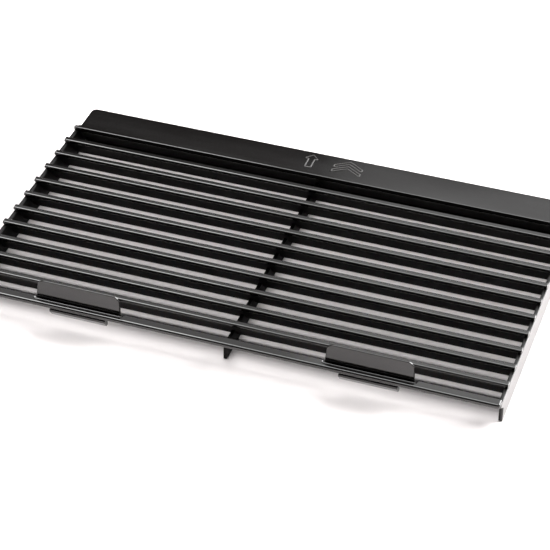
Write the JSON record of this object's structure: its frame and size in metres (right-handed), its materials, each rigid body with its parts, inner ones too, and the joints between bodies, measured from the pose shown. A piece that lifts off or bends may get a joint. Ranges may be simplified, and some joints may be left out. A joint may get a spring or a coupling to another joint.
{
  "type": "louvred air intake grille",
  "caption": "Flat louvred air intake grille in black moulded plastic, with a top flange, slanted slats between end plates, a centre rib and a bottom rail with finger tabs over snap hooks.",
  "frame": {"origin": "middle of the footprint, on the surface the grille lies on, louvre face up", "axes": "+X along the slats to the right, +Y towards the top flange, +Z out of the louvre face"},
  "size_m": [0.303, 0.1844, 0.0304],
  "materials": {
    "black_plastic": "semi-gloss moulded black, fine texture, polished edges"
  },
  "bodies": {
    "grille": {"top_flange": "black_plastic", "top_wall": "black_plastic", "slat_01": "black_plastic", "slat_02": "black_plastic", "slat_03": "black_plastic", "slat_04": "black_plastic", "slat_05": "black_plastic", "slat_06": "black_plastic", "slat_07": "black_plastic", "slat_08": "black_plastic", "slat_09": "black_plastic", "slat_10": "black_plastic", "slat_11": "black_plastic", "end_plate_left": "black_plastic", "end_plate_right": "black_plastic", "centre_rib": "black_plastic", "bottom_rail": "black_plastic"},
    "latch_left": {"finger_tab_left": "black_plastic", "snap_hook_left": "black_plastic"},
    "latch_right": {"finger_tab_right": "black_plastic", "snap_hook_right": "black_plastic"}
  },
  "joints": [
    {"name": "latch_left_flex", "type": "hinge", "parent": "grille", "child": "latch_left", "pos_m": [-0.0812, -0.0874, 0.01735], "axis": [1, 0, 0], "range_deg": [-3, 10], "stiffness_Nm_per_rad": 0.2},
    {"name": "latch_right_flex", "type": "hinge", "parent": "grille", "child": "latch_right", "pos_m": [0.0812, -0.0874, 0.01735], "axis": [1, 0, 0], "range_deg": [-3, 10], "stiffness_Nm_per_rad": 0.2}
  ]
}
